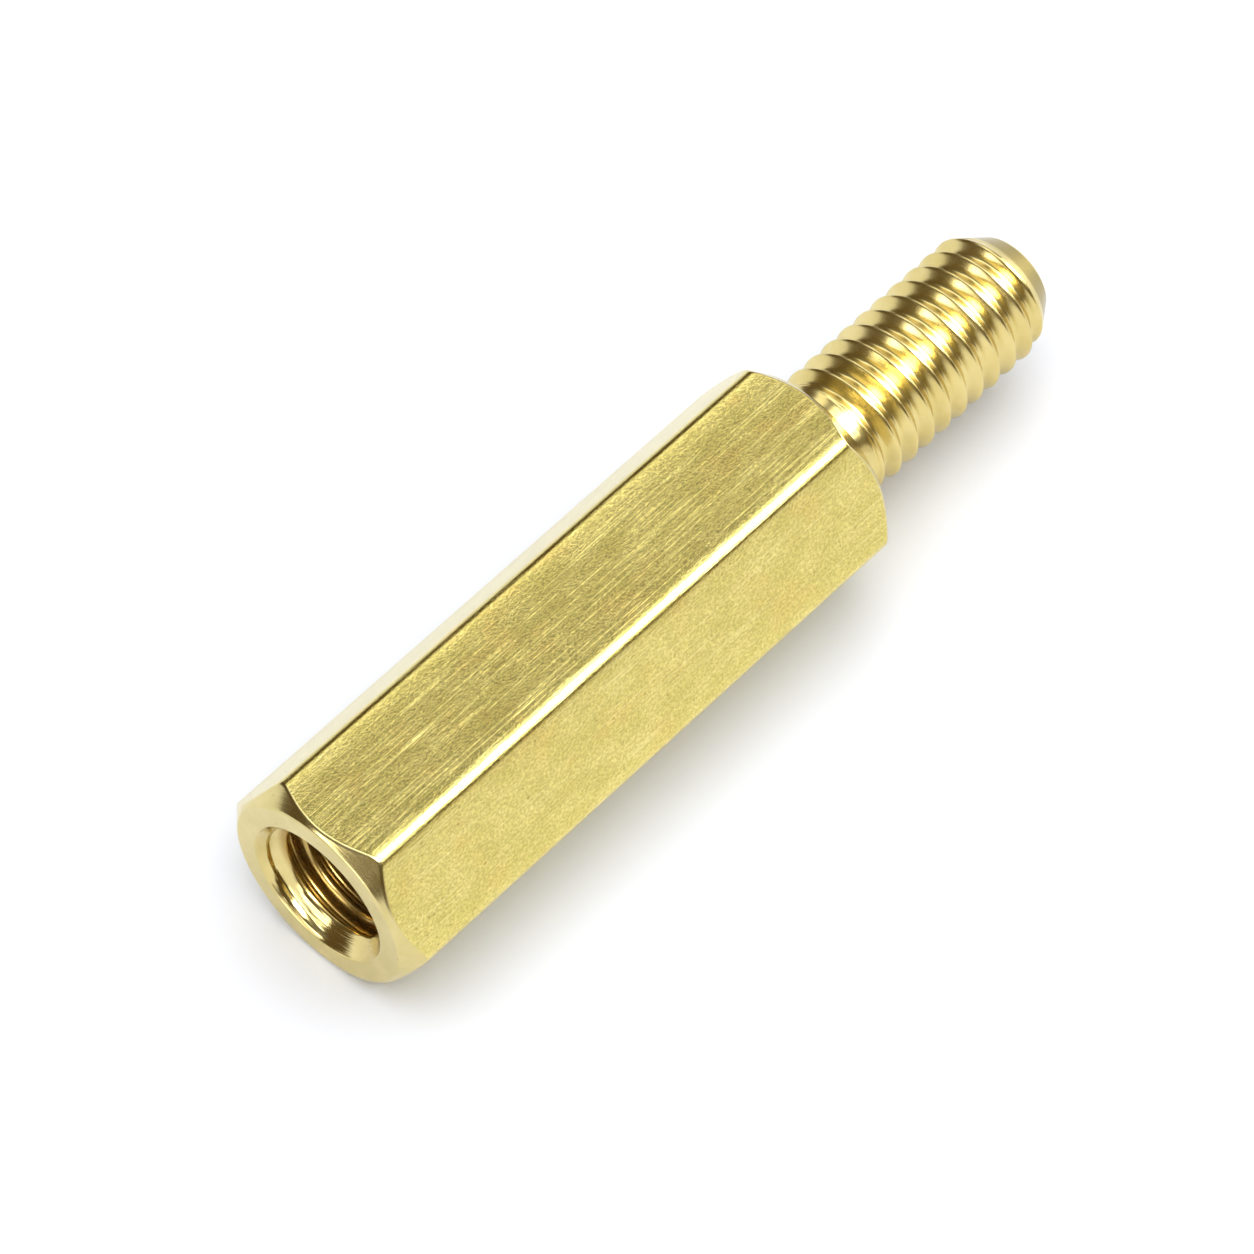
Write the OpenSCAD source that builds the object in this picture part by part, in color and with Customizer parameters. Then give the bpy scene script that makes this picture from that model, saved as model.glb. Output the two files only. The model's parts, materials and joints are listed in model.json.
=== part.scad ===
// Male-female hex standoff, turned from one length of drawn hexagonal brass bar.
//
// The part lies on one flat of its hexagon. X runs along its axis, from the tapped end
// face towards the tip of the stud, Y runs across it and Z is up. The origin is on the
// surface that the part lies on, halfway along its overall length.

/* [Hexagonal body] */
// Distance between opposite flats: 4.5 mm bar, less its drawing tolerance
across_flats = 4.45; // [4.25:0.05:8]
// Length of the body, from the tapped end face to the shoulder
body_length = 14; // [12:0.5:50]
// Rounding of the six long edges, left by the drawing die
edge_radius = 0.33; // [0.1:0.01:0.6]

/* [End chamfers] */
// Distance from each flat in to the rim of the round end faces
chamfer_inset = 0.1; // [0.05:0.05:0.2]
// Angle between the end chamfers and the axis
chamfer_angle = 45; // [30:5:60]

/* [Tapped hole] */
// Diameter of the tap drill, which is the bore left inside the thread
tap_drill_d = 2.5; // [1.6:0.05:2.6]
// Depth of the drilled wall, from the end face to the root of the drill point
drill_depth = 9; // [4:0.5:11]
// Included angle of the drill point at the blind end
drill_point_angle = 118; // [90:1:140]
// Diameter of the countersunk mouth
countersink_d = 3.3; // [3:0.02:3.5]
// Included angle of the countersink
countersink_angle = 90; // [60:5:120]

/* [Stud] */
// Outside diameter of the stud, over the crests of its thread
stud_d = 2.88; // [2:0.02:3.5]
// Length of the stud, from the shoulder to the tip
stud_length = 6.3; // [4:0.1:20]
// Depth of the relief neck, from the crests of the thread
neck_depth = 0.17; // [0.05:0.01:0.3]
// Length of the relief neck, from the shoulder to its run-out
neck_length = 0.6; // [0.4:0.05:1.5]
// Fillet between the shoulder and the neck
neck_fillet = 0.2; // [0.05:0.01:0.3]
// Length of the tapered tip, along the axis
tip_length = 0.75; // [0.2:0.05:1.5]
// Distance from the crests in to the rim of the tip's end face
tip_inset = 0.5; // [0.1:0.02:0.8]

/* [Hidden] */
$fn = 96;

// Length of stock left beyond each cut, so that no two faces coincide
cut_margin = 1;

// Overall length, end face to tip
overall_length = body_length + stud_length;

// The hexagon: its sharp corners, the centres of its rounded edges and the flat between two
sharp_corner_r = across_flats / sqrt(3);
edge_centre_r = (across_flats / 2 - edge_radius) / cos(30);
flat_width = edge_centre_r;

// The chamfers start on the rim of each end face and run out past the corners
end_face_r = across_flats / 2 - chamfer_inset;
chamfer_length = (sharp_corner_r - end_face_r) / tan(chamfer_angle);

// The stud, from its neck to its tip
stud_r = stud_d / 2;
neck_r = stud_r - neck_depth;
tip_face_r = stud_r - tip_inset;

// The hole, with the countersink's and the drill point's depths
bore_r = tap_drill_d / 2;
countersink_r = countersink_d / 2;
countersink_depth = (countersink_r - bore_r) / tan(countersink_angle / 2);
drill_point_length = bore_r / tan(drill_point_angle / 2);

// Section of the drawn bar: three bands across the flats, and a rounded edge at each corner
module bar_section() {
    for (turn = [0, 60, 120])
        rotate(turn)
            square([across_flats, flat_width], center = true);
    for (corner = [0 : 5])
        rotate(30 + 60 * corner)
            translate([edge_centre_r, 0])
                circle(edge_radius);
}

// Length of bar that the part is turned from
module bar_stock() {
    translate([0, 0, -cut_margin])
        linear_extrude(overall_length + 2 * cut_margin)
            bar_section();
}

// Half of the outline that the lathe cuts: radius to the right, distance along the axis up
module turned_outline() {
    polygon([
        [0, 0],
        [end_face_r, 0],
        [sharp_corner_r, chamfer_length],
        [sharp_corner_r, body_length - chamfer_length],
        [end_face_r, body_length],
        [neck_r, body_length],
        [neck_r, body_length + neck_length],
        [stud_r, body_length + neck_length + neck_depth],
        [stud_r, overall_length - tip_length],
        [tip_face_r, overall_length],
        [0, overall_length]
    ]);
    neck_fillet_outline();
}

// Web of metal that the fillet leaves in the corner of shoulder and neck
module neck_fillet_outline() {
    translate([neck_r, body_length])
        difference() {
            square(neck_fillet);
            translate([neck_fillet, neck_fillet])
                circle(neck_fillet);
        }
}

// Half of the hole's outline: countersunk mouth, drilled wall and drill point
module hole_outline() {
    flare = cut_margin * tan(countersink_angle / 2);
    polygon([
        [0, -cut_margin],
        [countersink_r + flare, -cut_margin],
        [bore_r, countersink_depth],
        [bore_r, drill_depth],
        [0, drill_depth + drill_point_length]
    ]);
}

// Lays a part that was turned about Z on one flat, along X
module lay_on_flat() {
    translate([-overall_length / 2, 0, across_flats / 2])
        rotate([0, 90, 0])
            children();
}

// The standoff: bar stock, turned outside, drilled and countersunk at one end.
// Its threads are too fine to show here: the stud is drawn at its crests, the bore at the drill.
module standoff() {
    color("goldenrod")
        lay_on_flat()
            difference() {
                intersection() {
                    bar_stock();
                    rotate_extrude()
                        turned_outline();
                }
                rotate_extrude()
                    hole_outline();
            }
}

standoff();
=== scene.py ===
# %% [markdown]
# # A brass hex standoff, from bar stock to studio shot
#
# A standoff is a spacer that holds a circuit board off its base. This one is a single length
# of hexagonal brass bar: a lathe has faced and chamfered both ends, drilled and tapped a hole
# in one of them, and turned a stud on the other, which was then threaded.
#
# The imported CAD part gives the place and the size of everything. Its threads are plain
# cylinders, and its turned edges are sharp. Here we build the same part again, ring by ring,
# with real helical threads and slightly broken edges, and give it the finish of drawn and
# turned brass. Everything is in metres in the file. The helper `MM` lets us write millimetres.

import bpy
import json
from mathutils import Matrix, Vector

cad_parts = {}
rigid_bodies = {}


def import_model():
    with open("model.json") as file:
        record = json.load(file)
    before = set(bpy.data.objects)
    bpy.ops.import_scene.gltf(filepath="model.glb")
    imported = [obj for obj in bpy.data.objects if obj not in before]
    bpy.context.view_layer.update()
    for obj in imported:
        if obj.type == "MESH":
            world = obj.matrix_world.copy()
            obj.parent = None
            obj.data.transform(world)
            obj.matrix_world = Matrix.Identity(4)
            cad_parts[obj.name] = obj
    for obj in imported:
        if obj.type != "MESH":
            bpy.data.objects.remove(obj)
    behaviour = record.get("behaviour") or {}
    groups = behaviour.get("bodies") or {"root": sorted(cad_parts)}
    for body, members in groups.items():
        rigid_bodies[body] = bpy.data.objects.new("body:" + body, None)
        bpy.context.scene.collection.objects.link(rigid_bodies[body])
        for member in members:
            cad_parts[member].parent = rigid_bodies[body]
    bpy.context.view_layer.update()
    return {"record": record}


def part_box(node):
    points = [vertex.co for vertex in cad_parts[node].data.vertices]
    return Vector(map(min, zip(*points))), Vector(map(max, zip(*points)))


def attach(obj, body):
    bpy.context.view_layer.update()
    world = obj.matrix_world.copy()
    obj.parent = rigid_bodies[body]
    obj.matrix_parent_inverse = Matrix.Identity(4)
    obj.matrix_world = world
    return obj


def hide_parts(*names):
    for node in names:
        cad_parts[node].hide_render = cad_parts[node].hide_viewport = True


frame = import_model()

# %% Tools
import json
import math
from collections import namedtuple

import bmesh
import bpy
from mathutils import Matrix, Quaternion, Vector

MM = 0.001
scene = bpy.context.scene
print("Blender", bpy.app.version_string)

# %% [markdown]
# ## Sizes
#
# What the CAD part knows, we read from it: the box gives the width across flats and the two
# ends, and the mounts in the record give the shoulder, the stud and the hole. The small sizes
# of the lathe work come further down, each where it is first used. X runs along the part,
# from the tapped end to the tip of the stud, and a radius is measured from its axis.

# %% Sizes from the CAD part, in millimetres
low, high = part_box("standoff")
mounts = {mount["name"]: mount for mount in frame["record"]["mounts"]}

ACROSS_FLATS = (high.z - low.z) / MM
AXIS_HEIGHT = ACROSS_FLATS / 2
TAPPED_END = low.x / MM
STUD_TIP = high.x / MM
SHOULDER = mounts["shoulder"]["pos_m"][0] / MM
CREST = mounts["stud"]["dims"]["r_mm"]
BORE = mounts["tapped_hole"]["dims"]["r_mm"]
print("across flats", round(ACROSS_FLATS, 3), "body", round(SHOULDER - TAPPED_END, 3),
      "stud", round(STUD_TIP - SHOULDER, 3), "crest radius", CREST, "bore radius", BORE)

# %% [markdown]
# ## The section of the bar
#
# The bar was pulled through a hexagonal die, which leaves flat sides and softly rounded
# corners. Handling wears the edges a little more: towards each corner the flats sink by a few
# thousandths of a millimetre, which is enough to give every edge a soft bright line. All rings
# of the mesh use the same set of angles, so they can be sewn together: seven on each rounded
# corner and seventeen on each flat.

# %% Columns of the mesh
Column = namedtuple("Column", "turn angle bar_radius")

EDGE_ROUNDING = 0.33
EDGE_WEAR = 0.009
WEAR_REACH_DEGREES = 10
EDGE_GAP_DEGREES = 2.0
FLAT_STEPS = 16


def bar_columns():
    """For each column: its turn from the first one, its angle, and the bar's radius there."""
    centre = (AXIS_HEIGHT - EDGE_ROUNDING) / math.cos(math.radians(30))
    half_flat = math.degrees(math.atan2(centre / 2, AXIS_HEIGHT))
    widest = half_flat - EDGE_GAP_DEGREES
    points = []
    for side in range(6):
        for lean in range(-30, 31, 10):
            along = centre + EDGE_ROUNDING * math.cos(math.radians(lean))
            across = EDGE_ROUNDING * math.sin(math.radians(lean))
            angle = 60 * side + math.degrees(math.atan2(across, along))
            points.append((angle, math.hypot(along, across) - EDGE_WEAR))
        for step in range(FLAT_STEPS + 1):
            turn = -widest + 2 * widest * step / FLAT_STEPS
            radius = AXIS_HEIGHT / math.cos(math.radians(turn))
            near_edge = max(0.0, abs(turn) - half_flat + WEAR_REACH_DEGREES) / WEAR_REACH_DEGREES
            points.append((60 * side + 30 + turn, radius - EDGE_WEAR * near_edge ** 2))
    first = points[0][0]
    return [Column(math.radians(angle - first), math.radians(angle), r) for angle, r in points]


COLUMNS = bar_columns()
FIRST_ANGLE = COLUMNS[0].angle
over_corners = 2 * max(column.bar_radius for column in COLUMNS)
print(len(COLUMNS), "columns; the bar is", round(over_corners, 3), "mm over its corners")

# %% [markdown]
# ## A broken edge
#
# Where two faces meet, the tool leaves a tiny radius and not a knife edge. A bevel modifier
# could round such an edge afterwards, but our edges run out into the hexagon, where a bevel
# gets ragged. So `broken_edge` replaces a corner of the outline by a short curve before it is
# turned, with one more point on each side of it to keep the faces beside it flat. It costs a
# few rings and catches the light as a thin bright line.


# %% Broken edge
def broken_edge(before, corner, after, size, steps=4):
    """Points of a small curve that replaces the corner between two straight runs."""
    beside = 1.35
    corner = Vector(corner)
    to_before = (Vector(before) - corner).normalized() * size
    to_after = (Vector(after) - corner).normalized() * size
    points = [tuple(corner + to_before * beside)]
    for step in range(steps + 1):
        t = step / steps
        points.append(tuple(corner + to_before * (1 - t) ** 2 + to_after * t ** 2))
    return points + [tuple(corner + to_after * beside)]


# %% [markdown]
# ## The outline of the body
#
# A lathe makes shapes that are the same all round, so the body can be described by one
# profile: pairs of distance along X and radius. The one exception is the hexagon, where the
# radius changes with the angle, so we work the profile out again for every column. It starts
# just inside the countersink and ends on the neck, where the two threads take over.

# %% Sizes of the body's outline
CHAMFER_INSET = 0.1
FACE = AXIS_HEIGHT - CHAMFER_INSET
MOUTH = 1.65
NECK = 1.27
FILLET = 0.2
SEAM_STEP = 0.05
MOUTH_SEAM = TAPPED_END + SEAM_STEP
NECK_SEAM = SHOULDER + 0.5

# How far each edge is broken, from the countersink to the shoulder
MOUTH_BREAK = 0.03
FACE_BREAK = 0.04
FRONT_BREAK = 0.05
BACK_BREAK = 0.04
RIM_BREAK = 0.03
print("radius of the face", round(FACE, 3), "countersink", MOUTH, "neck", NECK, "mm")

# %% Profile of the body
FILLET_STEPS = 6
LENGTH_STEPS = 8
BESIDE_CHAMFER = 0.09


def body_profile(bar_radius):
    """From the countersink, over the face, chamfer, flat, chamfer and shoulder, to the neck."""
    chamfer = bar_radius - FACE
    inside = (MOUTH_SEAM, MOUTH - SEAM_STEP)
    mouth = (TAPPED_END, MOUTH)
    face = (TAPPED_END, FACE)
    front = (TAPPED_END + chamfer, bar_radius)
    back = (SHOULDER - chamfer, bar_radius)
    rim = (SHOULDER, FACE)
    foot = (SHOULDER, NECK + FILLET)
    length = back[0] - front[0]
    points = [inside]
    points += broken_edge(inside, mouth, face, MOUTH_BREAK)
    points += broken_edge(mouth, face, front, FACE_BREAK)
    points += broken_edge(face, front, back, FRONT_BREAK)
    points += [(front[0] + BESIDE_CHAMFER, bar_radius)]
    points += [(front[0] + length * k / LENGTH_STEPS, bar_radius) for k in range(1, LENGTH_STEPS)]
    points += [(back[0] - BESIDE_CHAMFER, bar_radius)]
    points += broken_edge(front, back, rim, BACK_BREAK)
    points += broken_edge(back, rim, foot, RIM_BREAK)
    for step in range(FILLET_STEPS + 1):
        turn = math.radians(90 * step / FILLET_STEPS)
        x = SHOULDER + FILLET * (1 - math.cos(turn))
        points.append((x, NECK + FILLET * (1 - math.sin(turn))))
    return points + [(NECK_SEAM, NECK)]


print(len(body_profile(AXIS_HEIGHT)), "rings on the body")

# %% [markdown]
# ## Sewing rings into a skin
#
# A Screw or Spin would turn one outline into a skin, but here each column has an outline of
# its own. So we place the points ourselves and add the faces between neighbouring rings,
# which also gives us rings that the threads can be welded to exactly.


# %% Sew rings into a skin
def place(x, radius, angle):
    """A point of the part, in metres, from its distance along X, radius and angle."""
    return Vector((x, radius * math.cos(angle), AXIS_HEIGHT + radius * math.sin(angle))) * MM


def skin(name, profiles, pole=None):
    """A mesh from one profile for each column; pole is the X that the last ring closes to."""
    builder = bmesh.new()
    rings = []
    for step in range(len(profiles[0])):
        ring = []
        for column, profile in zip(COLUMNS, profiles):
            ring.append(builder.verts.new(place(*profile[step], column.angle)))
        rings.append(ring)
    neighbours = [(k, (k + 1) % len(COLUMNS)) for k in range(len(COLUMNS))]
    for lower, upper in zip(rings, rings[1:]):
        for k, n in neighbours:
            builder.faces.new((lower[k], lower[n], upper[n], upper[k]))
    if pole is not None:
        centre = builder.verts.new(place(pole, 0, 0))
        for k, n in neighbours:
            builder.faces.new((rings[-1][k], rings[-1][n], centre))
    mesh = bpy.data.meshes.new(name)
    builder.to_mesh(mesh)
    builder.free()
    print(name, "has", len(mesh.polygons), "faces")
    return mesh


body_skin = skin("body_skin", [body_profile(column.bar_radius) for column in COLUMNS])

# %% [markdown]
# ## The tip of the stud
#
# A tapered tip helps a nut to start. Its taper belongs to the thread further down. Only the
# small faced disc at its end is made here, closed by rings that shrink to a point. Nobody sees
# it in most views, but a part that is looked at from all sides needs it.

# %% Tip cap
TIP_RIM = 0.94
TIP_LENGTH = 0.75
TIP_BREAK = 0.047
TIP_SEAM = STUD_TIP - SEAM_STEP


def tip_curve(share):
    """Radius of the tapered tip: share is 0 at its end and 1 where the full thread starts."""
    return share * (CREST - TIP_RIM) + TIP_RIM


# The first point is moved on to the seam, so that the thread's last ring meets it exactly
tip_start = (TIP_SEAM, tip_curve(SEAM_STEP / TIP_LENGTH))
tip_profile = broken_edge(tip_start, (STUD_TIP, TIP_RIM), (STUD_TIP, 0), TIP_BREAK, steps=6)
tip_profile[0] = tip_start
tip_profile += [(STUD_TIP, radius) for radius in (0.6, 0.3, 0.1)]
tip_skin = skin("tip_skin", [tip_profile] * len(COLUMNS), pole=STUD_TIP)

# %% [markdown]
# ## The bottom of the hole
#
# The hole is blind: the tap stops before the drill did, and the drill leaves a cone. A plain
# disc would do for the eye, but the cone is what a section through the part would show.

# %% Bottom of the hole
HOLE_DEPTH = 9.0
DRILL_POINT = 0.751
POINT_BREAK = 0.05
BESIDE_POINT = 0.3
THREAD_DEPTH = 7.0
THREAD_END = TAPPED_END + THREAD_DEPTH
HOLE_SEAM = THREAD_END + 0.1

wall_end = TAPPED_END + HOLE_DEPTH
point_end = wall_end + DRILL_POINT
hole_profile = [(HOLE_SEAM, BORE), (wall_end - BESIDE_POINT, BORE)]
hole_profile += broken_edge((HOLE_SEAM, BORE), (wall_end, BORE), (point_end, 0), POINT_BREAK)
hole_profile += [(wall_end + DRILL_POINT * k / 4, BORE * (1 - k / 4)) for k in (1, 2, 3)]
hole_skin = skin("hole_skin", [hole_profile] * len(COLUMNS), pole=point_end)

# %% [markdown]
# ## Arithmetic in a node tree
#
# A thread follows a rule, so Geometry Nodes suit it well. A rule means arithmetic, and a tree
# with dozens of Math nodes is hard to read when each is added by hand. This little class
# stands for a number in a tree. Adding or multiplying two of them adds the Math node for us.
# `add_node` does the same service for every other kind of node.


# %% A number in a node tree
class Field:
    """A number in a node tree, which adds, multiplies and compares like any other."""

    def __init__(self, tree, socket):
        self.tree = tree
        self.socket = socket

    def fill(self, node, values):
        """Puts one value in each input of the node, and returns its result."""
        for place_in_node, value in zip(node.inputs, values):
            if isinstance(value, Field):
                self.tree.links.new(value.socket, place_in_node)
            else:
                place_in_node.default_value = value
        return Field(self.tree, node.outputs[0])

    def math(self, operation, *others):
        node = self.tree.nodes.new("ShaderNodeMath")
        node.operation = operation
        return self.fill(node, (self, *others))

    def __add__(self, other):
        return self.math("ADD", other)

    def __sub__(self, other):
        return self.math("SUBTRACT", other)

    def __mul__(self, other):
        return self.math("MULTIPLY", other)

    def __truediv__(self, other):
        return self.math("DIVIDE", other)

    def between(self, start, end):
        """0 before start, 1 after end, and a smooth rise between them."""
        node = self.tree.nodes.new("ShaderNodeMapRange")
        node.interpolation_type = "SMOOTHSTEP"
        return self.fill(node, (self, start, end, 0.0, 1.0))

    def opposite(self):
        """1 where this is 0, and 0 where this is 1."""
        return self * -1 + 1


# %% Any other node
def add_node(tree, kind, sources=None, **settings):
    """A new node with the given settings, its inputs joined to the sources by name."""
    node = tree.nodes.new(kind)
    for label, value in settings.items():
        setattr(node, label, value)
    for label, source in (sources or {}).items():
        tree.links.new(getattr(source, "socket", source), node.inputs[label])
    return node


# %% [markdown]
# ## One tree for both threads
#
# Picture the thread's surface as a flat sheet of squares, rolled round the axis. If the rows
# of squares went straight round, the ridges would cross them at a slant and look ragged. So
# the sheet is sheared first: every row climbs one pitch in one turn, exactly as the thread
# does, and each row keeps the same place on the ridge all the way along. Rows that would
# start before the thread, or run past its end, are pressed flat against that end. Merge by
# Distance then removes the doubles, which closes the seam and leaves two clean end rings.
#
# The tree sits on a ring of points, one for each column, and reads the columns' angles from
# it. So the thread has the same columns as the rest of the part.

# %% Inputs of the tree
THREAD_SIZES = ["Start", "End", "Pitch", "Rows in one pitch", "Crest line", "Flank slope",
                "Middle radius", "Inner radius", "Outer radius"]


def empty_tree(name):
    """A tree with its named inputs and its one output, and nothing between them."""
    tree = bpy.data.node_groups.new(name, "GeometryNodeTree")
    ports = tree.interface
    ports.new_socket("Ring", in_out="INPUT", socket_type="NodeSocketGeometry")
    for label in THREAD_SIZES:
        ports.new_socket(label, in_out="INPUT", socket_type="NodeSocketFloat")
    ports.new_socket("Rows", in_out="INPUT", socket_type="NodeSocketInt")
    ports.new_socket("Material", in_out="INPUT", socket_type="NodeSocketMaterial")
    ports.new_socket("Thread", in_out="OUTPUT", socket_type="NodeSocketGeometry")
    return tree


# %% Sheet of squares
def flat_sheet(tree, given):
    """The sheet of squares, and each point's row and turn about the axis."""
    count = len(COLUMNS)
    rows = Field(tree, given["Rows"])
    sheet = add_node(tree, "GeometryNodeMeshGrid", {"Vertices X": rows + 1, "Size X": rows})
    sheet.inputs["Vertices Y"].default_value = count + 1
    sheet.inputs["Size Y"].default_value = count
    position = add_node(tree, "GeometryNodeInputPosition")
    on_sheet = add_node(tree, "ShaderNodeSeparateXYZ", {"Vector": position.outputs[0]}).outputs
    row = (Field(tree, on_sheet["X"]) + rows / 2).math("ROUND")
    column = (Field(tree, on_sheet["Y"]) + count / 2).math("ROUND")

    # The last column is the first one again, one whole turn later
    share = add_node(tree, "GeometryNodeInputNamedAttribute", data_type="FLOAT")
    share.inputs["Name"].default_value = "turn"
    sample = add_node(tree, "GeometryNodeSampleIndex", {
        "Geometry": given["Ring"],
        "Value": share.outputs["Attribute"],
        "Index": column.math("MODULO", count),
    }, data_type="FLOAT", domain="POINT")
    whole_turn = column.math("GREATER_THAN", count - 0.5)
    return sheet.outputs["Mesh"], row, Field(tree, sample.outputs["Value"]) + whole_turn


# %% [markdown]
# The height of the thread is a zigzag, whose steepness is an input, cut off at the crest and
# filled at the root. Smooth Minimum and Smooth Maximum do that and leave small radii, as a die
# and a tap do. The two threads differ only in these limits, so each hands in its own.

# %% Thread tree
THREAD_WELD = 0.0015


def thread_tree(name, limits):
    """A tree that wraps a threaded sheet round the axis; limits sets its crest and root."""
    tree = empty_tree(name)
    given = tree.nodes.new("NodeGroupInput").outputs
    size = {label: Field(tree, given[label]) for label in THREAD_SIZES}
    sheet, row, turn = flat_sheet(tree, given)

    # Climb one pitch in one turn, and stay between the two ends
    climb = (row / size["Rows in one pitch"] + turn - 1) * size["Pitch"] + size["Start"]
    along = climb.math("MAXIMUM", size["Start"]).math("MINIMUM", size["End"])

    # A zigzag that climbs by Flank slope for each unit along the axis
    angle = turn * math.tau + FIRST_ANGLE
    phase = (along - size["Crest line"]) / size["Pitch"] - angle / math.tau
    from_root = (phase.math("FRACT") + 1).math("FRACT") - 0.5
    zigzag = (from_root.math("ABSOLUTE") - 0.25) * size["Pitch"] * size["Flank slope"]
    radius = limits(size, along, zigzag + size["Middle radius"])

    # Roll the sheet up, close its seam and give it its brass
    place_round_axis = add_node(tree, "ShaderNodeCombineXYZ", {
        "X": along * MM,
        "Y": radius * angle.math("COSINE") * MM,
        "Z": (radius * angle.math("SINE") + AXIS_HEIGHT) * MM,
    }).outputs[0]
    wrap = add_node(tree, "GeometryNodeSetPosition",
                    {"Geometry": sheet, "Position": place_round_axis})
    merge = add_node(tree, "GeometryNodeMergeByDistance", {"Geometry": wrap.outputs[0]})
    merge.inputs["Distance"].default_value = THREAD_WELD * MM
    realize = add_node(tree, "GeometryNodeRealizeInstances", {"Geometry": merge.outputs[0]})
    finish = add_node(tree, "GeometryNodeSetMaterial",
                      {"Geometry": realize.outputs[0], "Material": given["Material"]})
    add_node(tree, "NodeGroupOutput", {"Thread": finish.outputs[0]})
    print(name, "has", len(tree.nodes), "nodes")
    return tree


# %% [markdown]
# ## The stud's thread
#
# The stud was rolled between dies, so its flanks are soft and its crests are rounded. Next to
# the shoulder there is a relief neck, and the first ridge grows out of it over half a turn. At
# the tip a straight taper lowers the ridges, so that a nut starts easily. `stud_limits` says
# the same in arithmetic: the thread is never higher than the crest, the slope that leads up
# from the neck or the tip's taper, and never lower than the root, which is filled up a little
# towards both ends.

# %% Limits of the stud's thread
NECK_END = SHOULDER + 0.7
NECK_BLEND = 0.08
CREST_ROUNDING = 0.05
ROOT_ROUNDING = 0.08
TAPER_ROUNDING = 0.06
FILLING_AT_NECK = 0.08
FILLING_AT_TIP = 0.27
TAPER_CAP = 1.5
NECK_FILLING_END = NECK_END + 0.25
TIP_FILLING_START = STUD_TIP - 0.65
TIP_FILLING_END = STUD_TIP - 0.4


def stud_limits(size, along, height):
    """The stud's radius: the zigzag's height, held between crest, neck, root and taper."""
    neck_slope = (along - NECK_END + NECK).math("MAXIMUM", NECK)
    from_tip = (along * -1 + STUD_TIP) / TIP_LENGTH
    taper = tip_curve(from_tip.math("MINIMUM", TAPER_CAP))
    height = height.math("SMOOTH_MIN", size["Outer radius"], CREST_ROUNDING)
    height = height.math("SMOOTH_MIN", neck_slope, CREST_ROUNDING)
    at_neck = along.between(NECK_END, NECK_FILLING_END).opposite() * FILLING_AT_NECK
    at_tip = along.between(TIP_FILLING_START, TIP_FILLING_END) * FILLING_AT_TIP
    height = height.math("SMOOTH_MAX", at_neck + at_tip + size["Inner radius"], ROOT_ROUNDING)
    height = height.math("SMOOTH_MIN", taper, TAPER_ROUNDING)
    return (height - NECK) * along.between(NECK_END - NECK_BLEND, NECK_END) + NECK


stud_tree = thread_tree("Rolled thread", stud_limits)

# %% [markdown]
# ## The thread in the hole
#
# A tap cuts this one, after a drill and a countersink. It is the same zigzag, seen from
# inside, so its crest line is the bottom of the groove. The drill limits it inwards, and the
# tap's depth outwards. The countersink opens the mouth, so there the surface is whichever lies
# further from the axis. Deep in the hole the cut fades out, where the tap's tapered end stopped.

# %% Limits of the tapped thread
TAP_ROUNDING = 0.02
TAP_TAPER_LENGTH = 0.9
TAP_DEPTH = 0.3
BORE_START = THREAD_END - 0.1
BORE_ONLY = THREAD_END + 0.05


def hole_limits(size, along, depth):
    """The hole's radius: the zigzag's depth, held between drill, tap and countersink."""
    countersink = along * -1 + TAPPED_END + MOUTH
    fading = along.between(THREAD_END - TAP_TAPER_LENGTH, THREAD_END).opposite() * TAP_DEPTH + BORE
    deepest = fading.math("MINIMUM", size["Outer radius"])
    depth = depth.math("SMOOTH_MIN", deepest, TAP_ROUNDING)
    depth = depth.math("SMOOTH_MAX", size["Inner radius"], TAP_ROUNDING)
    depth = depth.math("MAXIMUM", countersink)
    return (depth * -1 + BORE) * along.between(BORE_START, BORE_ONLY) + depth


hole_tree = thread_tree("Tapped thread", hole_limits)

# %% [markdown]
# ## Brass
#
# Brass is a metal, so its colour is the colour of its reflections: Metallic is 1 and the
# base colour does the rest. What makes it look real is that no surface is even. Each finish
# below is made of the same few patterns, at the scale that the tool leaves them. The patterns
# read Object coordinates, turned into millimetres, so they stay on the metal from any side.


# %% Mix two colours
def mix_colours(tree, amount, first, second):
    """A colour between two: first where amount is 0, second where it is 1."""
    node = add_node(tree, "ShaderNodeMix", {"Factor": amount}, data_type="RGBA")
    for place_in_node, colour in zip(node.inputs[6:8], (first, second)):
        if isinstance(colour, tuple):
            place_in_node.default_value = (*colour, 1.0)
        else:
            tree.links.new(colour, place_in_node)
    return node.outputs[2]


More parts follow.
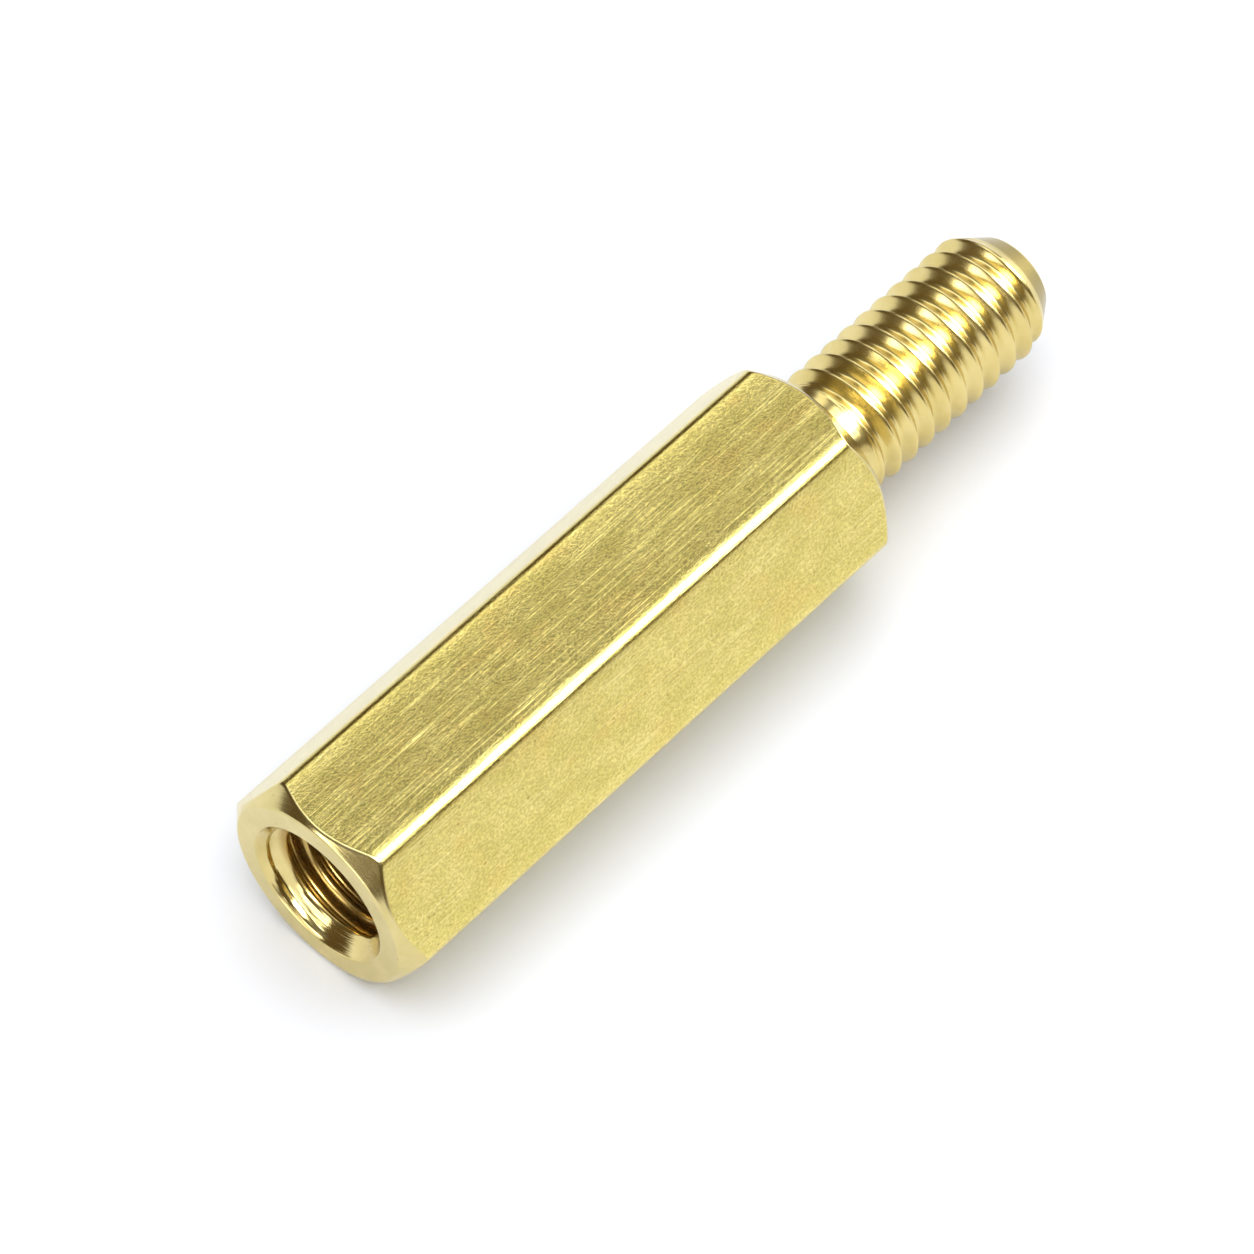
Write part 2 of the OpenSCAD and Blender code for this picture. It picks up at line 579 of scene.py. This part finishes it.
# %% A finish under construction
class Finish:
    """A material under construction: the node tree, and the few patterns that we use."""

    def __init__(self, name):
        self.material = bpy.data.materials.new(name)
        self.material.use_nodes = True
        self.tree = self.material.node_tree
        self.shader = self.tree.nodes["Principled BSDF"]
        self.shader.inputs["Metallic"].default_value = 1.0
        self.here = add_node(self.tree, "ShaderNodeTexCoord").outputs["Object"]

    def stretched(self, x, y, z):
        """Object coordinates in millimetres, multiplied by x, y and z."""
        mapping = add_node(self.tree, "ShaderNodeMapping", {"Vector": self.here})
        mapping.inputs["Location"].default_value = (0, 0, -AXIS_HEIGHT * z)
        mapping.inputs["Scale"].default_value = (x / MM, y / MM, z / MM)
        return mapping.outputs[0]

    def noise_at(self, where, detail, roughness):
        node = add_node(self.tree, "ShaderNodeTexNoise", {"Vector": where})
        node.inputs["Scale"].default_value = 1.0
        node.inputs["Detail"].default_value = detail
        node.inputs["Roughness"].default_value = roughness
        return Field(self.tree, node.outputs["Fac"])

    def noise(self, stretch, detail=2.0, roughness=0.5):
        """Noise between 0 and 1; stretch is its waves to a millimetre along X, Y and Z."""
        return self.noise_at(self.stretched(*stretch), detail, roughness)

    def dots(self, stretch, size):
        """1 in the middle of scattered dots, falling to 0 at the given size."""
        node = add_node(self.tree, "ShaderNodeTexVoronoi", {"Vector": self.stretched(*stretch)})
        node.inputs["Scale"].default_value = 1.0
        return Field(self.tree, node.outputs["Distance"]).between(size, size * 0.4)

    def hairlines(self, stretch, width):
        """1 along thin lines, which are contour lines of a stretched noise, and 0 beside them."""
        return (self.noise(stretch, 1.0) - 0.5).math("ABSOLUTE").between(width, 0.0)

    def axes(self):
        """Distance along X and distance from the axis, in millimetres."""
        split = add_node(self.tree, "ShaderNodeSeparateXYZ", {"Vector": self.stretched(1, 1, 1)})
        along, across, up = (Field(self.tree, socket) for socket in split.outputs)
        return along, (across * across + up * up).math("SQRT")

    def rings(self, fineness):
        """Noise that follows X and the distance from the axis, so it makes circles."""
        along, radius = self.axes()
        where = add_node(self.tree, "ShaderNodeCombineXYZ",
                         {"X": along * fineness, "Y": radius * fineness})
        return self.noise_at(where.outputs[0], 2.0, 0.6)

    def mix(self, amount, first, second):
        return mix_colours(self.tree, amount, first, second)

    def set(self, label, value):
        self.tree.links.new(getattr(value, "socket", value), self.shader.inputs[label])

    def bump(self, height, depth):
        """Bump from a height between 0 and 1, which stands for this many millimetres."""
        node = add_node(self.tree, "ShaderNodeBump", {"Height": height})
        node.inputs["Strength"].default_value = 1.0
        node.inputs["Distance"].default_value = depth * MM
        self.set("Normal", node.outputs[0])
        print(self.material.name, "has", len(self.tree.nodes), "nodes")


# %% [markdown]
# ### Drawn flats
#
# The die leaves lines along the bar, and the bars rub against each other in the bundle. So
# there are several things here: a slow mottling of darker and lighter brass with a few warmer
# stains, a fine grain, short fine lines, and longer scratches that run along X as well. Small
# pits are pressed in at random. Lines and scratches come from noise that is stretched along X,
# and a second, coarser noise lets them come and go. They are painted lighter than the brass,
# partly as rubbed wear and partly as a painted highlight.

# %% Drawn brass
drawn = Finish("drawn_brass")
cloud = drawn.noise((1.1, 1.9, 1.9), 5.0, 0.75).between(0.38, 0.62)
stain = drawn.noise((0.8, 1.2, 1.2), 3.0, 0.6).between(0.52, 0.68)
grain = drawn.noise((16.0, 21.0, 21.0), 2.0, 0.7).between(0.3, 0.7)
lines = drawn.noise((0.4, 38.0, 38.0), 1.0).between(0.54, 0.68)
lines = lines * drawn.noise((0.7, 14.0, 14.0)).between(0.40, 0.56)
scratch = drawn.hairlines((0.06, 6.0, 6.0), 0.009) * drawn.noise((0.5, 3.0, 3.0)).between(0.5, 0.6)
pits = drawn.dots((4.0, 7.0, 7.0), 0.2) * drawn.noise((2.0, 2.0, 2.0), 1.0).between(0.5, 0.62)

dull_brass = (0.725, 0.615, 0.183)
clear_brass = (0.85, 0.717, 0.24)
warm_stain = (0.82, 0.60, 0.18)
dark_grain = (0.42, 0.33, 0.085)
# Lines and scratches get this lighter colour: partly rubbed wear, partly a painted highlight
rubbed_and_highlit = (0.97, 0.87, 0.38)
dark_pit = (0.30, 0.21, 0.06)
tone = drawn.mix(cloud, dull_brass, clear_brass)
tone = drawn.mix(stain * 0.5, tone, warm_stain)
tone = drawn.mix(grain * 0.6, tone, dark_grain)
tone = drawn.mix(lines * 0.4 + scratch * 0.3, tone, rubbed_and_highlit)
tone = drawn.mix(pits * 0.5, tone, dark_pit)
drawn.set("Base Color", tone)
drawn.set("Roughness", grain * 0.06 + 0.15)
drawn.bump(lines * 0.4 + scratch * 0.4 - grain * 0.9 - pits * 0.8, 0.0018)

# %% [markdown]
# ### Turned faces
#
# The end faces, chamfers, neck and tip disc come straight off the lathe. Its tool leaves
# circles round the axis, so the pattern follows the radius and X, and doesn't change with the
# angle. An anisotropic shader could stretch the highlights too, but a fine bump does the same
# and shows the marks themselves up close.

# %% Turned brass
turned = Finish("lathe_brass")
circles = turned.rings(28)
cloud = turned.noise((1.5, 1.5, 1.5), 3.0, 0.6).between(0.35, 0.7)
specks = turned.dots((6.0, 6.0, 6.0), 0.22) * turned.noise((2.0, 2.0, 2.0)).between(0.5, 0.6)

dull_face = (0.64, 0.535, 0.22)
clear_face = (0.72, 0.60, 0.27)
dark_speck = (0.42, 0.30, 0.10)
tone = turned.mix(cloud, dull_face, clear_face)
turned.set("Base Color", turned.mix(specks * 0.5, tone, dark_speck))
turned.set("Roughness", circles * 0.08 + 0.14)
turned.bump(circles - specks * 0.5, 0.0011)

# %% [markdown]
# ### Rolled thread
#
# Rolling presses the stud's thread smooth, so its pattern is faint. Its blunt tip is painted
# a little darker, as painted shade.

# %% Rolled brass
TIP_SHADE_START = STUD_TIP - 0.52
TIP_SHADE_FULL = STUD_TIP - 0.42

rolled = Finish("rolled_thread")
cloud = rolled.noise((1.2, 1.2, 1.2), 3.0, 0.6).between(0.35, 0.7)
grain = rolled.noise((9.0, 9.0, 9.0), 3.0, 0.6)
along, _ = rolled.axes()
painted_tip_shade = along.between(TIP_SHADE_START, TIP_SHADE_FULL)

dull_thread = (0.67, 0.54, 0.20)
clear_thread = (0.74, 0.61, 0.26)
# The tip's darker colour is painted shade
shaded_tip_colour = (0.36, 0.275, 0.075)
tone = rolled.mix(cloud, dull_thread, clear_thread)
rolled.set("Base Color", rolled.mix(painted_tip_shade, tone, shaded_tip_colour))
rolled.set("Roughness", grain * 0.04 + 0.20)
rolled.bump(grain, 0.0003)

# %% [markdown]
# ### Tapped thread
#
# The countersink at the mouth of the hole is bright and shows the tool's circles. Behind it
# the tapped thread is rougher, and its colour is darker as painted shade in the hole. One
# material covers both, and a mask along X tells them apart, so there is no hard line between
# them.

# %% Tapped brass
MOUTH_END = TAPPED_END + 0.34
BORE_SHADE_START = TAPPED_END + 0.42

tapped = Finish("tapped_thread")
cloud = tapped.noise((1.5, 1.5, 1.5), 3.0, 0.6).between(0.35, 0.7)
circles = tapped.rings(30)
along, _ = tapped.axes()
mouth = along.between(BORE_SHADE_START, MOUTH_END)

dull_mouth = (0.68, 0.55, 0.22)
clear_mouth = (0.76, 0.63, 0.28)
# The bore's darker colour is painted shade
painted_bore_shade = (0.52, 0.365, 0.12)
tone = tapped.mix(cloud, dull_mouth, clear_mouth)
tapped.set("Base Color", tapped.mix(mouth, painted_bore_shade, tone))
tapped.set("Roughness", circles * 0.10 + 0.22 - mouth * 0.14)
tapped.bump(circles * (mouth * 0.7 + 0.3), 0.0045)

# %% [markdown]
# ## Grow the threads
#
# The tree sits as a modifier on a plain ring of points that carries each column's share of a
# turn. We set its inputs, let Blender work it out, and keep the result as an ordinary mesh.


# %% Run a thread tree
def grow(tree, sizes, material):
    """Runs a thread tree once and returns its result as a plain mesh."""
    ring = bpy.data.meshes.new("ring")
    ring.from_pydata([(0, 0, 0)] * len(COLUMNS), [], [])
    turn = ring.attributes.new("turn", "FLOAT", "POINT")
    turn.data.foreach_set("value", [column.turn / math.tau for column in COLUMNS])
    carrier = bpy.data.objects.new("ring", ring)
    scene.collection.objects.link(carrier)
    modifier = carrier.modifiers.new("Thread", "NODES")
    modifier.node_group = tree
    turns = (sizes["End"] - sizes["Start"]) / sizes["Pitch"] + 1
    values = dict(sizes, Rows=math.ceil(turns * sizes["Rows in one pitch"]), Material=material)
    for item in tree.interface.items_tree:
        if item.in_out == "INPUT" and item.name in values:
            modifier[item.identifier] = values[item.name]
    evaluated = carrier.evaluated_get(bpy.context.evaluated_depsgraph_get())
    mesh = bpy.data.meshes.new_from_object(evaluated)
    carrier.modifiers.clear()
    bpy.data.objects.remove(carrier)
    print(tree.name, "made", len(mesh.polygons), "faces")
    return mesh


# %% Grow both threads
PITCH = 0.5

stud_thread = grow(stud_tree, {
    "Start": NECK_SEAM,
    "End": TIP_SEAM,
    "Pitch": PITCH,
    "Rows in one pitch": 18.0,
    "Crest line": SHOULDER + 0.021,
    "Flank slope": 1.2,
    "Middle radius": 1.301,
    "Inner radius": 1.185,
    "Outer radius": CREST,
}, rolled.material)
hole_thread = grow(hole_tree, {
    "Start": MOUTH_SEAM,
    "End": HOLE_SEAM,
    "Pitch": PITCH,
    "Rows in one pitch": 12.0,
    "Crest line": TAPPED_END + 0.255,
    "Flank slope": math.sqrt(3),
    "Middle radius": 1.36,
    "Inner radius": BORE,
    "Outer radius": 1.53,
}, tapped.material)

# %% [markdown]
# ## Weld everything into one skin
#
# The end rings of the threads lie exactly on the first and last rings of the body, because
# they use the same angles and radii. So the five skins can be poured into one mesh and
# welded. A closed skin has two faces at every edge, and we check that here. Each face keeps
# the number of the skin that it came from.

# %% Weld
SKIN_WELD = 0.002


def weld(skins):
    """One closed mesh under construction, and the layer that tells its skins apart."""
    builder = bmesh.new()
    marks = builder.faces.layers.int.new("skin")
    for number, mesh in enumerate(skins):
        known = set(builder.faces)
        builder.from_mesh(mesh)
        for face in builder.faces:
            if face not in known:
                face[marks] = number
    bmesh.ops.remove_doubles(builder, verts=builder.verts, dist=SKIN_WELD * MM)
    bmesh.ops.recalc_face_normals(builder, faces=builder.faces)
    open_edges = [edge for edge in builder.edges if len(edge.link_faces) != 2]
    volume = builder.calc_volume() / MM ** 3
    print("open edges:", len(open_edges), " volume:", round(volume, 2), "mm3")
    return builder, marks


builder, marks = weld([body_skin, tip_skin, hole_skin, stud_thread, hole_thread])

# %% [markdown]
# ## Hand out the finishes
#
# The skin that a face came from gives its finish. Two kinds of face on the body's skin differ
# from the rest of it, which is turned. Those beyond the rim of the end faces that don't lean
# along X are the drawn bar. Those just inside the mouth belong to the countersink.

# %% Assign finishes
BODY, TIP, HOLE, STUD_THREAD, HOLE_THREAD = range(5)
DRAWN, TURNED, ROLLED, TAPPED = range(4)
FINISH_OF_SKIN = {BODY: TURNED, TIP: TURNED, HOLE: TAPPED, STUD_THREAD: ROLLED, HOLE_THREAD: TAPPED}
MOST_LEAN = 0.05
RIM_MARGIN = 0.01
MOUTH_MARGIN = 0.005
MOUTH_REACH = TAPPED_END + 0.06

for face in builder.faces:
    face.material_index = FINISH_OF_SKIN[face[marks]]
    face.smooth = True
    middle = face.calc_center_median() / MM
    radius = math.hypot(middle.y, middle.z - AXIS_HEIGHT)
    if face[marks] == BODY and face.normal.x ** 2 < MOST_LEAN and radius > FACE + RIM_MARGIN:
        face.material_index = DRAWN
    if face[marks] == BODY and middle.x < MOUTH_REACH and radius < MOUTH - MOUTH_MARGIN:
        face.material_index = TAPPED
mesh = bpy.data.meshes.new("brass_standoff")
for finish in (drawn, turned, rolled, tapped):
    mesh.materials.append(finish.material)
builder.to_mesh(mesh)
builder.free()
standoff = bpy.data.objects.new("brass_standoff", mesh)
scene.collection.objects.link(standoff)
print("triangles:", sum(len(polygon.vertices) - 2 for polygon in mesh.polygons))

# %% [markdown]
# ## Tie it to the CAD part
#
# The new skin stands for the CAD solid, which is hidden, and takes its place on the part's one
# body. Its object stays at the origin, because its place is in its mesh.

# %% Tie it to the CAD part
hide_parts("standoff")
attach(standoff, "root")
print(standoff.name, "is at", tuple(standoff.location), "with", len(mesh.materials), "finishes")

# %% [markdown]
# ## Camera
#
# A long lens from well above keeps the part's long edges nearly parallel. The camera stands
# on the tapped side, so we look into the hole and along the body to the stud. It is rolled by
# a few degrees about its own line of sight, which tips the part in the frame.

# %% Camera
VIEW_DISTANCE = 130.3
VIEW_ROLL_DEGREES = -3.12

camera = bpy.data.objects.new("camera", bpy.data.cameras.new("camera"))
scene.collection.objects.link(camera)
scene.camera = camera
camera.data.sensor_width = 36.0
camera.data.lens = 191.4
camera.data.clip_start = 0.001
camera.data.clip_end = 10.0
forward = Vector((0.4261, 0.3554, -0.8319)).normalized()
looked_at = Vector((STUD_TIP - 11.72, -0.14, AXIS_HEIGHT)) * MM
level_view = (-forward).to_track_quat("Z", "Y")
camera.rotation_mode = "QUATERNION"
camera.rotation_quaternion = Quaternion(forward, math.radians(VIEW_ROLL_DEGREES)) @ level_view
camera.location = looked_at - forward * VIEW_DISTANCE * MM
print("camera at", [round(c, 4) for c in camera.location])

# %% [markdown]
# ## Floor
#
# The part lies on white paper. A matt surface takes a soft shadow and shows in the metal as a
# plain pale field. It is a touch cooler than white, because the brass throws warm light on it.

# %% Floor
PAPER_WHITE = (0.82, 0.845, 0.91, 1)

floor_mesh = bpy.data.meshes.new("floor")
floor_mesh.from_pydata([(-1, -1, 0), (1, -1, 0), (1, 1, 0), (-1, 1, 0)], [], [(0, 1, 2, 3)])
floor = bpy.data.objects.new("floor", floor_mesh)
scene.collection.objects.link(floor)
paper = bpy.data.materials.new("white_paper")
paper.use_nodes = True
paper_shader = paper.node_tree.nodes["Principled BSDF"]
paper_shader.inputs["Base Color"].default_value = PAPER_WHITE
paper_shader.inputs["Roughness"].default_value = 1.0
paper_shader.inputs["Specular IOR Level"].default_value = 0.0
floor_mesh.materials.append(paper)
print("floor:", tuple(round(side, 2) for side in floor.dimensions), "m")

# %% [markdown]
# ## Lamps
#
# Metal shows what is around it, so what matters is where each lamp lies and not only how
# bright it is. Every lamp is a soft rectangle with one job. Most of them show only in the
# metal, and one wide lamp lights only the table, so its shadow stays soft.


# %% A soft lamp
def softbox(name, direction, tall, angles, radiance, lights, distance=0.6):
    """A soft rectangular lamp that faces the part.

    tall is the way its height runs, angles is how wide and how high it looks from the part
    in degrees, and radiance is how bright it looks. lights is "metal" for a lamp that only
    shows as a reflection, and "paper" for one that only lights the table.
    """
    back = Vector(direction).normalized()
    upward = Vector(tall)
    upward = (upward - back * upward.dot(back)).normalized()
    width, height = (2 * distance * math.tan(math.radians(angle / 2)) for angle in angles)
    data = bpy.data.lights.new(name, "AREA")
    data.shape = "RECTANGLE"
    data.size = width
    data.size_y = height
    data.energy = radiance * math.pi * width * height
    lamp = bpy.data.objects.new(name, data)
    turn = Matrix((upward.cross(back), upward, back)).transposed().to_4x4()
    lamp.matrix_world = Matrix.Translation(back * distance) @ turn
    lamp.visible_diffuse = lights != "metal"
    lamp.visible_glossy = lights != "paper"
    scene.collection.objects.link(lamp)
    print(name, "is", round(width, 2), "by", round(height, 2), "m")


# %% [markdown]
# The key lamp runs along the part and puts a white highlight on each ridge of the stud and on
# the nearer long edge, which the right strip widens. The window lamp brightens the far edge of
# the top flat, and the low card keeps the dark line beside the nearer edge thin. The top strip
# and the far lamp light the thread's two flanks. The side lamp lights the countersink and the
# chamfer on the tapped end.

# %% Place the lamps
softbox("right_strip", (0.43, -0.33, 0.84), (0, 0.87, 0.49), (24, 60), 2.6, "metal")
softbox("key_lamp", (0.05, -0.42, 0.91), (1, 0, 0), (25, 84), 14.0, "metal", distance=0.58)
softbox("top_strip", (-0.25, -0.05, 0.97), (0, 1, 0.05), (24, 76), 2.0, "metal")
softbox("side_lamp", (-0.984, 0.035, 0.217), (0, 0.857, 0.515), (12, 46), 5.0, "metal")
softbox("window_lamp", (0.426, 0.575, 0.70), (0, -0.70, 0.71), (60, 22), 1.35, "metal")
softbox("far_lamp", (0.986, -0.070, 0.154), (0, 0.857, 0.515), (12, 28), 16.0, "metal")
softbox("low_card", (0.426, -0.89, 0.105), (0, 0.1, 1), (70, 11), 0.8, "metal")
softbox("table_lamp", (0.0, -0.04, 1.0), (0, 1, 0), (90, 90), 2.12, "paper")

# %% [markdown]
# ## Room
#
# The room is pale overhead and brown near the horizon, which gives the dark lines along the
# edges. Without something dark around it, brass looks like yellow plastic.

# %% Room
HORIZON_BROWN = (0.12, 0.08, 0.032)
CEILING_GREY = (0.25, 0.25, 0.25)

world = bpy.data.worlds.new("room")
scene.world = world
world.use_nodes = True
sky = world.node_tree
compass = add_node(sky, "ShaderNodeTexCoord")
split = add_node(sky, "ShaderNodeSeparateXYZ", {"Vector": compass.outputs["Generated"]})
overhead = Field(sky, split.outputs["Z"]).between(0.38, 0.62)
ceiling = mix_colours(sky, overhead, HORIZON_BROWN, CEILING_GREY)
sky.links.new(ceiling, sky.nodes["Background"].inputs["Color"])
scene.view_settings.view_transform = "Standard"
print("lamps:", sum(thing.type == "LIGHT" for thing in scene.objects))
